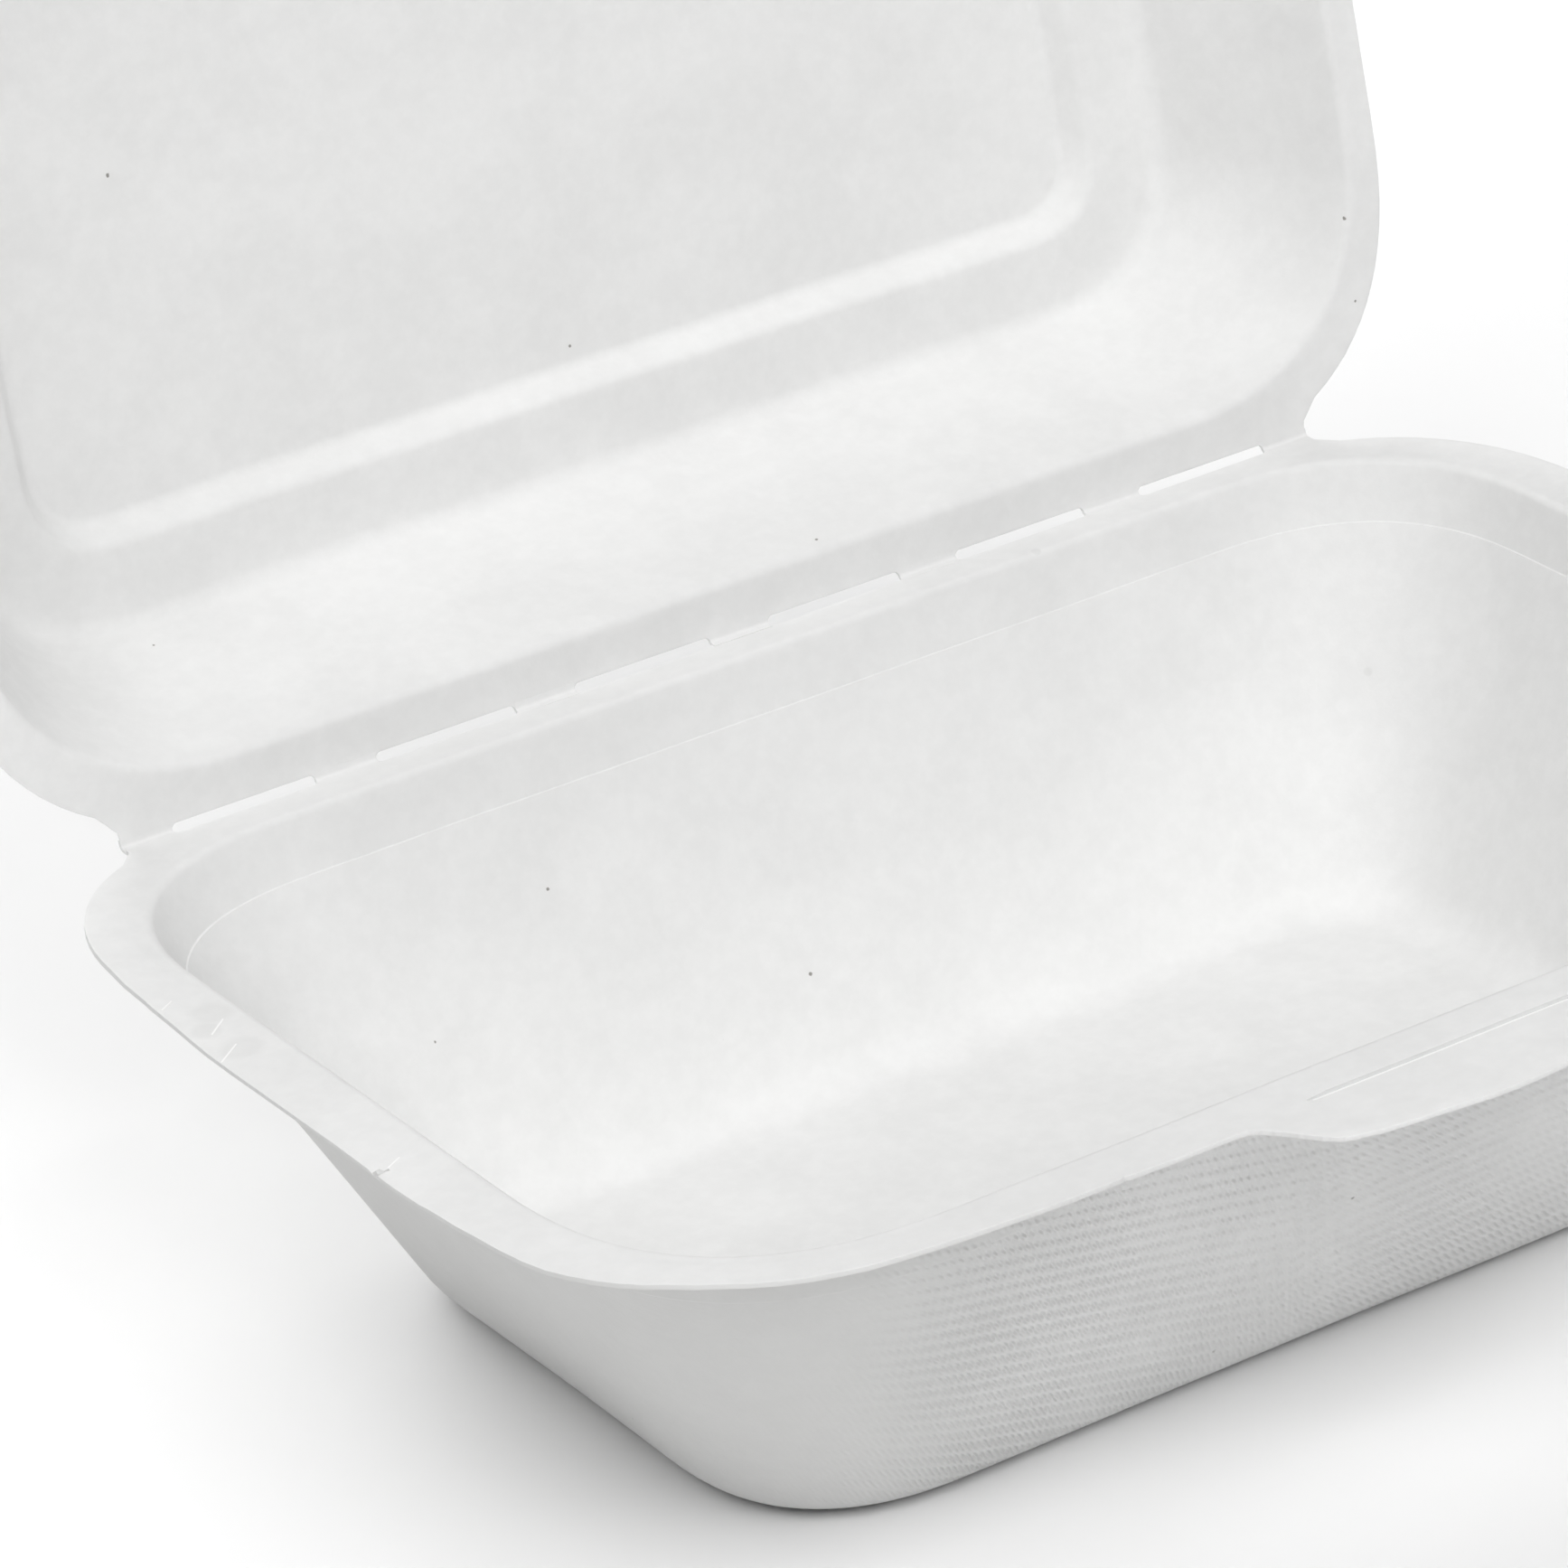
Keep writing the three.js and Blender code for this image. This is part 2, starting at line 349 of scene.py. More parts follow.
    def twill(self, paint: Paint, flat: Shade, sway: Shade, waves: tuple, rows: float) -> Shade:
        """Dots from two slanted waves, their difference and its double.

        Args:
            paint: The material's nodes.
            flat: The sheet's own coordinates, across and down, in metres.
            sway: Slow shift of the pattern in metres.
            waves: Turns per millimetre across and down, for both waves.
            rows: Strength of the rows.

        Returns:
            Height of the marks, about -1 to 1.
        """
        turns = 2 * pi / MM
        (ax, ay), (bx, by) = waves
        first = ((paint.dot(flat, (ax, ay, 0)) + sway) * turns).sine()
        second = ((paint.dot(flat, (bx, by, 0)) + sway) * turns).sine()
        row = paint.dot(flat, (ax - bx, ay - by, 0)) * turns
        return first * 0.5 + second * 0.5 + row.sine() * rows + (row * 2).sine() * rows

    def screen_marks(self, paint: Paint, place: Shade) -> Shade:
        """Dots left by the twilled forming screen, which is pulled askew round the front corner.

        The marks fade towards the rim and past the line where the screen was worn smooth. That line
        stands at smooth_beyond along X where z is 0, and leans by smooth_lean.
        """
        flat = paint.node("ShaderNodeAttribute", {"attribute_name": SHEET_PLACE}, {}, "Vector")
        sway = paint.noise(place, self.sway_grain, 1.0) * self.sway_reach
        straight = self.twill(paint, flat, sway, self.straight_waves, self.straight_rows)
        askew = self.twill(paint, flat, sway, self.askew_waves, self.askew_rows)
        share = paint.dot(place, (1, 0, 0)).smooth(*self.askew_edge)
        dots = straight * share + askew * (1 - share)
        worn = paint.noise(place, self.worn_grain, 3.0, 0.6).smooth(0.25, 0.7) * 0.5 + 0.5
        strength = paint.dot(flat, (0, 0, 1))
        if self.smooth_beyond is not None:
            low, high = (self.smooth_beyond + reach for reach in self.smooth_edge)
            left = paint.dot(place, (1, 0, self.smooth_lean)).smooth(low, high)
            worn = worn * (left * (1 - self.smooth_marks) + self.smooth_marks)
        return dots * worn * strength

    def make(self) -> Material:
        """Builds the material."""
        paint = Paint(self.name)
        place = paint.node("ShaderNodeTexCoord", {}, {}, "Object")
        clouds = self.clouds(paint, place)
        colour = paint.blend(clouds, self.dull, self.pale)
        stains_and_droop_shade = self.scattered(paint, place, self.stain_cell, self.stain_radius, self.stain_share)
        # Painted shade where the left flange droops, joined with the real stains.
        if self.droop_painted_shade:
            stains_and_droop_shade = stains_and_droop_shade.most(self.known_marks(paint, place, self.droop_painted_shade) * self.droop_shade_strength)
        # Painted shade: the outer wall is blended towards the stain colour towards -X.
        if self.smooth_beyond is not None:
            painted_left_shade = 1 - paint.dot(place, (1, 0, 0)).smooth(*self.painted_shade_edge)
            colour = paint.blend(painted_left_shade * self.painted_shade_strength, colour, self.stain_and_shade)
        colour = paint.blend(stains_and_droop_shade * self.stain_strength, colour, self.stain_and_shade)
        flecks = self.scattered(paint, place, self.fleck_cell, self.fleck_radius, self.fleck_share)
        if self.specks:
            flecks = flecks.most(self.known_marks(paint, place, self.specks))
        colour = paint.blend(flecks * self.fleck_strength, colour, self.bark)
        fibres = paint.noise(place, self.fibre_grain, 4.0, 0.7)
        normal = paint.bump(fibres, self.fibre_depth, 0.9, None)
        waves = paint.noise(place, self.wave_grain, 2.0)
        normal = paint.bump(waves, self.wave_depth, 0.5, normal)
        if self.face is Face.SCREENED:
            normal = paint.bump(self.screen_marks(paint, place), self.screen_depth, 0.8, normal)
        # The creases are bumped, and painted paler along their lines as a painted highlight.
        if self.creases:
            lines = self.crease_lines(paint, place)
            normal = paint.bump(lines, self.crease_depth, 0.6, normal)
            colour = paint.blend(lines, colour, self.crease_highlight)
        return paint.finish(
            {
                "Base Color": colour,
                "Roughness": clouds * self.roughness_range + self.roughness,
                "Normal": normal,
                "Specular IOR Level": self.specular,
                "Sheen Weight": self.sheen,
            }
        )


# Building helpers


def add_object(name: str, data: bpy.types.ID) -> Object:
    """Makes an object from its data and puts it in the scene."""
    made = bpy.data.objects.new(name, data)
    bpy.context.scene.collection.objects.link(made)
    return made


def add_mesh(name: str, points: list, faces: list, *finishes: Material) -> Object:
    """Makes an object from points and faces, with its finishes."""
    data = bpy.data.meshes.new(name)
    data.from_pydata(points, [], faces)
    for finish in finishes:
        data.materials.append(finish)
    return add_object(name, data)


def facing(way: Vector) -> Matrix:
    """The turn that points a camera or a lamp along a direction."""
    return way.to_track_quat("-Z", "Y").to_matrix().to_4x4()


def eased(share: np.ndarray | float) -> np.ndarray | float:
    """A share from 0 to 1 with soft ends."""
    return share * share * (3 - 2 * share)


# The sheet's form


@dataclass(frozen=True)
class Bowl:
    """The pressed part inside the rim, in millimetres.

    side, front and back are the rim's flat widths. side_ratio is how much further in the side walls
    run than the others. The corner reaches go from their value at the rim to that at the floor.
    """

    side: float
    front: float
    back: float
    floor_inset: float = 1.0
    side_ratio: float = 1.0
    back_reaches: Pair = (0.0, 0.0)
    front_reaches: Pair = (0.0, 0.0)


@dataclass(frozen=True)
class Corner:
    """A corner of a wall's section: inset from the wall's top, height and radius, in millimetres."""

    inset: float
    height: float
    radius: float = 0.0
    steps: int = 1


@dataclass
class Rim:
    """The outline that both halves share, with the fold on y = 0 and the tray on the -Y side.

    Lengths are in millimetres. Columns run anticlockwise from the right end of the back edge.
    """

    width: float = 234.6
    depth: float = 161.7
    fold_length: float = 195.0
    back_reach: float = 42.0
    front_reach: float = 50.0
    power: float = 2.5
    fold_gap: float = 0.3
    slot_count: int = 6
    slot_pitch: float = 31.5
    slot_length: float = 22.0
    slot_width: float = 1.6
    notch_step: float = 0.3
    notch_depth: float = 2.0
    side_step: float = 2.2
    back_steps: int = 16
    front_steps: int = 22
    columns: list[tuple[str, float]] = field(default_factory=list)

    @property
    def back_straight(self) -> float:
        """Half the straight part of the back edge."""
        return self.width / 2 - self.back_reach

    @property
    def front_straight(self) -> float:
        """Half the straight part of the front edge."""
        return self.width / 2 - self.front_reach

    def turn_at(self, x: float) -> float:
        """Turn of a back corner, from its side, at which the rim is x off the middle."""
        share = (x - self.back_straight) / self.back_reach
        return acos(share ** (self.power / 2))

    def slot_middles(self) -> list[float]:
        """Where the slots' middles lie along the fold."""
        return [(i - (self.slot_count - 1) / 2) * self.slot_pitch for i in range(self.slot_count)]

    def slot_depth(self, x: float) -> float:
        """How far the perforation cuts into the sheet at x, measured from the fold's middle."""
        radius = self.slot_width / 2
        for middle in self.slot_middles():
            beyond = abs(x - middle) - (self.slot_length / 2 - radius)
            if beyond <= 0:
                return radius
            if beyond < radius:
                return sqrt(radius**2 - beyond**2)
        return 0.0

    def fold_places(self) -> list[float]:
        """Places along the right half of the fold that need a column."""
        half_fold = self.fold_length / 2
        radius = self.slot_width / 2
        places = {0.0, half_fold - self.notch_step, half_fold}
        for middle in self.slot_middles():
            for side in (-1, 1):
                end = middle + side * self.slot_length / 2
                for degrees in (0, 35, 65, 90):
                    back = radius * (1 - cos(radians(degrees)))
                    places.add(round(end - side * back, 4))
            for share in (-0.6, -0.2, 0.2, 0.6):
                places.add(round(middle + share * self.slot_length / 2, 4))
            places.add(round(middle + self.slot_pitch / 2, 4))
        return sorted(x for x in places if 0 <= x <= half_fold)

    def lay_columns(self, front_places: list[float], left_extra: tuple[float, ...] = ()) -> None:
        """Fills the list of columns.

        Args:
            front_places: Places on the right half of the front edge that need a column.
            left_extra: Extra shares of the left side, from back to front, that need a column.
        """
        places = self.fold_places()
        straight = [x for x in places if x <= self.back_straight]
        bent = [self.turn_at(x) for x in places if x > self.back_straight]
        rest = list(np.linspace(0, min(bent), self.back_steps))[:-1]
        back_turns = sorted(set(rest + bent))
        front_turns = list(np.linspace(0, pi / 2, self.front_steps))
        count = int(self.depth / self.side_step / 2)
        sides = sorted(set(np.linspace(0, 1, count)[1:-1].round(5)) | set(left_extra))
        front = [x / self.front_straight for x in front_places]
        back = sorted({s * x / self.back_straight for x in straight for s in (-1, 1)}, reverse=True)
        self.columns = (
            [("back", s) for s in back]
            + [("left_back", t) for t in sorted(back_turns, reverse=True)]
            + [("left", s) for s in sides]
            + [("left_front", t) for t in front_turns]
            + [("front", s) for s in sorted({s * x for x in front for s in (-1, 1)})]
            + [("right_front", t) for t in reversed(front_turns)]
            + [("right", s) for s in reversed(sides)]
            + [("right_back", t) for t in back_turns]
        )

    def ring(self, bowl: Bowl | None, inset: float) -> np.ndarray:
        """The outline set in from the rim by the flat rim's width and a further inset.

        Args:
            bowl: The pressed part, or None for the rim's own outline.
            inset: Distance inwards from the bowl's mouth.

        Returns:
            One x, y pair for each column.
        """
        bowl = bowl or Bowl(0, 0, 0, 1, 1, (self.back_reach,) * 2, (self.front_reach,) * 2)
        share = inset / bowl.floor_inset
        half = self.width / 2 - bowl.side - inset * bowl.side_ratio
        back = -bowl.back - inset
        front = -self.depth + bowl.front + inset
        back_reach = bowl.back_reaches[0] + (bowl.back_reaches[1] - bowl.back_reaches[0]) * share
        front_reach = bowl.front_reaches[0] + (bowl.front_reaches[1] - bowl.front_reaches[0]) * share
        back_x, back_y = half - back_reach, back - back_reach
        front_x, front_y = half - front_reach, front + front_reach
        points = []
        for kind, value in self.columns:
            side = -1 if "left" in kind else 1
            if kind in ("left", "right"):
                points.append((side * half, back_y + (front_y - back_y) * value))
            elif kind == "back":
                points.append((value * back_x, back))
            elif kind == "front":
                points.append((value * front_x, front))
            else:
                along = cos(value) ** (2 / self.power)
                across = sin(value) ** (2 / self.power)
                if "back" in kind:
                    x, y = back_x + back_reach * along, back_y + back_reach * across
                else:
                    x, y = front_x + front_reach * along, front_y - front_reach * across
                points.append((side * x, y))
        return np.array(points)

    def edge(self) -> np.ndarray:
        """The rim's cut edge, with the fold, its half slots and the notch at each end."""
        points = self.ring(None, 0)
        half_fold = self.fold_length / 2
        for i, (kind, _) in enumerate(self.columns):
            x = points[i, 0]
            if "back" not in kind:
                continue
            if abs(x) <= half_fold - self.notch_step / 2:
                points[i, 1] = -max(self.fold_gap / 2, self.slot_depth(x))
            elif abs(x) <= half_fold + self.notch_step / 2:
                points[i, 1] = -self.notch_depth
        return points


def rounded(corners: list[Corner], steps: int) -> list[Pair]:
    """Rounds a section's corners and divides its straight runs.

    Args:
        corners: The section's corners, from the flange to the floor.
        steps: Faces in each rounding.

    Returns:
        Points of inset and height.
    """
    points: list[Vector] = []
    last = len(corners) - 1
    for i, corner in enumerate(corners):
        at = Vector((corner.inset, corner.height))
        if i in (0, last) or not corner.radius:
            arc = [at]
        else:
            before = (Vector((corners[i - 1].inset, corners[i - 1].height)) - at).normalized()
            after = (Vector((corners[i + 1].inset, corners[i + 1].height)) - at).normalized()
            half = before.angle(after) / 2
            middle = at + (before + after).normalized() * (corner.radius / sin(half))
            start = at + before * (corner.radius / tan(half)) - middle
            end = at + after * (corner.radius / tan(half)) - middle
            sweep = start.angle_signed(end)
            arc = []
            for k in range(steps + 1):
                arc.append(middle + Matrix.Rotation(-sweep * k / steps, 2) @ start)
        if points and corner.steps > 1:
            origin = points[-1].copy()
            for k in range(1, corner.steps):
                points.append(origin.lerp(arc[0], k / corner.steps))
        points.extend(arc)
    return [(p.x, p.y) for p in points]


@dataclass(frozen=True)
class Swell:
    """Slow unevenness of the sheet, the same on every run. reach and length are in millimetres."""

    reach: float
    length: float
    seed: float
    waves: int = 5

    def at(self, x: np.ndarray, y: np.ndarray) -> np.ndarray:
        """How far off each place is, from -reach to reach."""
        total = np.zeros_like(x)
        for k in range(self.waves):
            turn = self.seed + 2.4 * k
            pitch = self.length * (0.6 + 0.35 * k)
            wave = (x * cos(turn) + y * sin(turn)) * 2 * pi / pitch
            total += np.sin(wave + self.seed * (k + 1) * 3.7)
        return self.reach * (total / self.waves)


# How far the warped rim stands above the ideal one: x, y and lift at its edge, in millimetres
RIM_LIFT = (
    (-98.0, -3.0, 0.2), (-105.0, -10.0, 0.8), (-112.0, -20.0, 1.0),
    (-115.0, -27.0, 1.4), (-116.2, -32.0, 1.55), (-117.0, -38.0, 1.2),
    (-117.3, -44.0, 0.7), (-117.3, -49.0, 0.3), (-117.3, -53.0, -0.1),
    (-117.3, -58.0, -0.4), (-117.3, -64.0, -0.5), (-117.3, -90.0, -0.42),
    (-117.3, -97.0, -0.55), (-117.3, -104.0, -0.65), (-117.3, -109.0, -0.45),
    (-117.3, -115.5, 0.12), (-116.9, -122.0, 0.3), (-115.9, -129.0, 0.0),
    (-114.1, -135.3, -0.1), (-112.0, -140.4, 0.22), (-109.1, -145.0, 0.66),
    (-105.8, -149.0, 1.0), (-102.0, -152.5, 1.1), (-97.6, -155.4, 1.0),
    (-92.7, -157.8, 0.78), (-87.2, -159.6, 0.72), (-81.0, -160.9, 0.88),
    (-75.0, -161.6, 0.85), (-67.3, -161.7, 0.58), (-58.3, -161.7, 0.25),
    (-50.0, -161.7, 0.15), (-44.0, -161.7, 0.0),
)


@dataclass
class Sheet:
    """One half of the box: a grid of points on the inner face, before it gets its thickness.

    Lengths are in millimetres, in the rim's own frame.
    """

    name: str
    rim: Rim
    bowl: Bowl
    corners: list[Corner]
    thickness: float
    front_places: list[float]
    left_extra: tuple[float, ...] = ()
    fillet_steps: int = 6
    inner_rows: int = 5
    outer_rows: int = 5
    floor_rows: int = 14
    core: float = 0.03
    line_share: float = 0.55
    line_gap: float = 0.4
    warp_power: float = 1.3
    marks_start: float = 2.0
    marks_run: float = 14.0
    rim_marks: float = 0.3
    floor_marks: float = 0.8

    def rim_edge(self) -> np.ndarray:
        """The cut edge of this half's rim."""
        return self.rim.edge()

    def lines(self, edge: np.ndarray, top: np.ndarray) -> tuple[np.ndarray, np.ndarray]:
        """Where the two middle rows of the flange lie, as shares from the wall to the edge."""
        span = np.linalg.norm(edge - top, axis=1)
        first = np.full(len(edge), self.line_share)
        return first, first + self.line_gap / span

    def grid(self) -> np.ndarray:
        """Points of the inner face, as rows from the rim's edge to the middle of the floor."""
        self.rim.lay_columns(self.front_places, self.left_extra)
        section = rounded(self.corners, self.fillet_steps)
        edge = self.rim_edge()
        top = self.rim.ring(self.bowl, section[0][0])
        first, second = self.lines(edge, top)
        rows = []
        for k in range(self.outer_rows):
            share = (1 - k / self.outer_rows) + second * (k / self.outer_rows)
            rows.append((top + (edge - top) * share[:, None], 0.0))
        rows.append((top + (edge - top) * second[:, None], 0.0))
        for k in range(self.inner_rows):
            share = first * (1 - k / self.inner_rows)
            rows.append((top + (edge - top) * share[:, None], 0.0))
        for inset, height in section:
            rows.append((self.rim.ring(self.bowl, inset), height))
        last, height = rows[-1]
        centre = np.array([0.0, (last[:, 1].min() + last[:, 1].max()) / 2])
        for k in range(1, self.floor_rows + 1):
            share = (1 - self.core) * k / self.floor_rows
            rows.append((last + (centre - last) * share, height))
        return np.array([np.c_[flat, np.full(len(flat), z)] for flat, z in rows])

    def lift(self, edge: np.ndarray) -> np.ndarray:
        """How far the warp lifts each column of an edge that is given as the base's."""
        places = [int(np.argmin(np.hypot(edge[:, 0] - x, edge[:, 1] - y))) for x, y, _ in RIM_LIFT]
        order = np.argsort(places)
        lifts = np.array([lift for _, _, lift in RIM_LIFT])[order]
        return np.interp(np.arange(len(edge)), np.array(places)[order], lifts, left=0.0, right=0.0)

    def shape(self, grid: np.ndarray) -> np.ndarray:
        """Moves the points off the ideal form, as this half of the real box is."""
        return grid

    def cut_away(self, row: int, column: int, grid: np.ndarray) -> bool:
        """Whether the face between this row and column and the next ones is missing."""
        return False

    def place(self) -> Matrix:
        """From the rim's frame in millimetres to the object's frame in metres."""
        raise NotImplementedError

    def flat_places(self, grid: np.ndarray) -> np.ndarray:
        """Where each point lies on the forming screen, and how deep its marks are.

        Args:
            grid: The ideal grid in millimetres.

        Returns:
            Distance round the box and down from the wall's top in metres, or across and along on
            the floor, and the marks' strength. The strength is 0 where these ways meet and at the
            first and the last column.
        """
        around = np.linalg.norm(np.roll(grid, -1, axis=1) - grid, axis=2)
        run = np.concatenate([[0.0], np.cumsum(around[len(grid) // 2])[:-1]])
        down = np.linalg.norm(np.diff(grid, axis=0), axis=2)
        depth = np.vstack([np.zeros(grid.shape[1]), np.cumsum(down, axis=0)])
        depth -= depth[self.outer_rows + self.inner_rows + 1]
        share = np.clip((depth - self.marks_start) / self.marks_run, 0, 1)
        strength = self.rim_marks + (1 - self.rim_marks) * eased(share)
        strength[:, [0, -1]] = 0.0
        around = np.broadcast_to(run, depth.shape).copy()
        floor = len(grid) - self.floor_rows
        around[floor:], depth[floor:] = grid[floor:, :, 0], -grid[floor:, :, 1]
        strength[floor - 1 : floor + 1] = 0.0
        strength[floor + 1 :] = self.floor_marks
        return np.dstack([around * MM, depth * MM, strength])

    def mesh(self, inside: Material, outside: Material) -> Object:
        """Builds the half as one closed sheet.

        Args:
            inside: Finish of the inner face.
            outside: Finish of the outer face and the cut edges.

        Returns:
            The finished object, in the object's frame.
        """
        ideal = self.grid()
        flat = self.flat_places(ideal)
        grid = self.shape(ideal.copy())
        rows, count = grid.shape[:2]
        place = self.place()
        points = [place @ Vector(p) for p in grid.reshape(-1, 3)]
        faces = []
        for r in range(rows - 1):
            for c in range(count):
                n = (c + 1) % count
                if not self.cut_away(r, c, ideal):
                    near, far = r * count, (r + 1) * count
                    faces.append((near + c, near + n, far + n, far + c))
        faces.append(tuple((rows - 1) * count + c for c in range(count)))
        if place.to_3x3().determinant() < 0:
            faces = [face[::-1] for face in faces]
        shell = add_mesh(self.name, points, faces, inside, outside)
        places = shell.data.attributes.new(SHEET_PLACE, "FLOAT_VECTOR", "POINT")
        places.data.foreach_set("vector", flat.reshape(-1).astype(np.float32))
        thicken(shell, self.thickness * MM, 1)
        return shell


def thicken(shell: Object, thickness: float, outer_slot: int, edge: float = 0.14) -> None:
    """Gives a sheet its thickness and soft cut edges, and keeps the result in its mesh.

    Args:
        shell: The sheet's object.
        thickness: In metres, away from the faces' normals.
        outer_slot: How many material slots further the far face and the edges are.
        edge: Width of the soft edge as a share of the thickness; none where it is 0.
    """
    solid = shell.modifiers.new("thickness", "SOLIDIFY")
    solid.thickness = thickness
    solid.offset = -1
    solid.use_even_offset = True
    solid.material_offset = outer_slot
    solid.material_offset_rim = outer_slot
    if edge:
        soft = shell.modifiers.new("soft_edge", "BEVEL")
        soft.width = thickness * edge
        soft.segments = 2
        soft.limit_method = "ANGLE"
        soft.angle_limit = radians(62)
        soft.use_clamp_overlap = True
    graph = bpy.context.evaluated_depsgraph_get()
    final = bpy.data.meshes.new_from_object(shell.evaluated_get(graph))
    shell.modifiers.clear()
    shell.data = final
    final.shade_smooth()
    final.set_sharp_from_angle(angle=radians(50))


@dataclass
class BaseTray(Sheet):
    """The lower half, with the front tab, the lock's slit, a nick, and the left flange's split.

    The split opens between the two columns of the left side that split_share lies between.
    """

    tab_reach: float = 11.7
    tab_side_reach: float = 9.0
    tab_width: float = 47.0
    tab_flare: float = 10.0
    slit_length: float = 45.0
    slit_width: float = 0.8
    slit_setback: float = 1.2
    slit_point: float = 3.0
    slit_step: float = 0.3
    slit_drop: float = 0.35
    slit_blend: float = 25.0
    tab_round: float = 5.0
    tab_sag: float = 0.45
    sag_run: float = 14.0
    sag_half: float = 85.0
    nick_x: float = -50.3
    nick_depth: float = 0.45
    split_share: float = 0.0
    split_gap: float = 0.8
    split_rows: int = 3
    split_drop: float = 0.35
    split_lift: float = 0.15
    split_power: float = 1.5
    flange_above: float = -0.5
    wall_depth: float = 30.0
    cut: Swell = Swell(0.12, 9.0, 1.3)
    swells: tuple[Swell, ...] = (Swell(0.28, 70.0, 0.8), Swell(0.28, 80.0, 2.1), Swell(0.12, 60.0, 3.3))

    def rim_edge(self) -> np.ndarray:
        """The rim's edge, with the tab's S-curves, a nick and a slightly uneven cut."""
        edge = self.rim.edge()
        half = self.tab_width / 2
        for i, (kind, _) in enumerate(self.rim.columns):
            if kind == "front":
                x = abs(edge[i, 0])
                share = min(max((half + self.tab_flare - x) / self.tab_flare, 0), 1)
                bow = min(hypot(x, self.tab_round) - self.tab_round, half) / half
                reach = self.tab_reach + (self.tab_side_reach - self.tab_reach) * bow
                edge[i, 1] -= reach * eased(share)
                if abs(edge[i, 0] - self.nick_x) < 0.2:
                    edge[i, 1] += self.nick_depth
            if "back" not in kind:
                edge[i, 1] += self.cut.at(edge[i : i + 1, 0], edge[i : i + 1, 1])[0]
        return edge

    def in_slit(self, x: np.ndarray) -> np.ndarray:
        """1 along the slit, falling to 0 at its two points."""
        return np.clip((self.slit_length / 2 - np.abs(x)) / self.slit_point, 0, 1)

    def lens(self, x: np.ndarray) -> np.ndarray:
        """Half the slit's width at x, never quite nothing."""
        return np.maximum(self.in_slit(x) * self.slit_width / 2, self.slit_step / 2)

    def lines(self, edge: np.ndarray, top: np.ndarray) -> tuple[np.ndarray, np.ndarray]:
        """Both sides of the slit at the tab, and an even share elsewhere."""
        first, second = super().lines(edge, top)
        middle = -self.rim.depth + self.slit_setback
        for i, (kind, _) in enumerate(self.rim.columns):
            if kind != "front":
                continue
            span = top[i, 1] - edge[i, 1]
            half = float(self.lens(edge[i, 0]))
            near = (top[i, 1] - middle - half) / span
            far = (top[i, 1] - middle + half) / span
            inwards = self.rim.front_straight - abs(edge[i, 0])
            weight = min(max(inwards / self.slit_blend, 0), 1)
            first[i] += (near - first[i]) * weight
            second[i] += (far - second[i]) * weight
        return first, second

    def cut_away(self, row: int, column: int, grid: np.ndarray) -> bool:
        """The slit at the tab and the split in the left flange."""
        count = grid.shape[1]
        kind, value = self.rim.columns[column]
        following = self.rim.columns[(column + 1) % count]
        if kind == "front" and following[0] == "front" and row == self.outer_rows:
            middle = (grid[row, column, 0] + grid[row, (column + 1) % count, 0]) / 2
            return abs(middle) < self.slit_length / 2
        if kind == "left" and following[0] == "left":
            at_split = value < self.split_share < following[1]
            return at_split and row < self.split_rows
        return False

    def shape(self, grid: np.ndarray) -> np.ndarray:
        """Adds the sagging tab, the warped rim, the split and the walls' unevenness."""
        x, y, z = grid[..., 0], grid[..., 1], grid[..., 2]
        mouth = self.rim.ring(self.bowl, 0)[None, :, :]
        away = np.hypot(x - mouth[..., 0], y - mouth[..., 1]) / self.bowl.side
        row = np.arange(len(grid))[:, None]
        flat_rim = (z > self.flange_above) & (row <= self.outer_rows + self.inner_rows)
        z += self.lift(grid[0, :, :2])[None, :] * (np.clip(away, 0, 1) * flat_rim) ** self.warp_power
        front = np.clip((-y - (self.rim.depth - self.bowl.front)) / self.sag_run, 0, 1)
        middle = np.clip(1 - (x / self.sag_half) ** 2, 0, 1)
        z -= self.tab_sag * front * middle * (z > self.flange_above)
        z -= self.slit_drop * self.in_slit(x) * ((row <= self.outer_rows) & (y < -self.rim.depth))
        depth = np.clip(-z / self.wall_depth, 0, 1)
        x += self.swells[0].at(y, z) * depth
        y += self.swells[1].at(x, z) * depth
        z += self.swells[2].at(x, y)
        self.open_split(grid)
        return grid

    def open_split(self, grid: np.ndarray) -> None:
        """Spreads the two sides of the split at the rim and lifts one of them."""
        for i, (kind, value) in enumerate(self.rim.columns):
            if kind != "left":
                continue
            following = self.rim.columns[i + 1]
            if following[0] == "left" and value < self.split_share < following[1]:
                for row in range(self.split_rows):
                    open_share = 1 - row / self.split_rows
                    spread = self.split_gap / 2 * open_share**self.split_power
                    grid[row, i, 1] += spread
                    grid[row, i + 1, 1] -= spread
                    grid[row, i, 2] -= self.split_drop * open_share
                    grid[row, i + 1, 2] += self.split_lift * open_share

    def place(self) -> Matrix:
        """The base stands with its rim at the fold's height."""
        return Matrix.Translation(BASE_ORIGIN) @ Matrix.Scale(MM, 4)


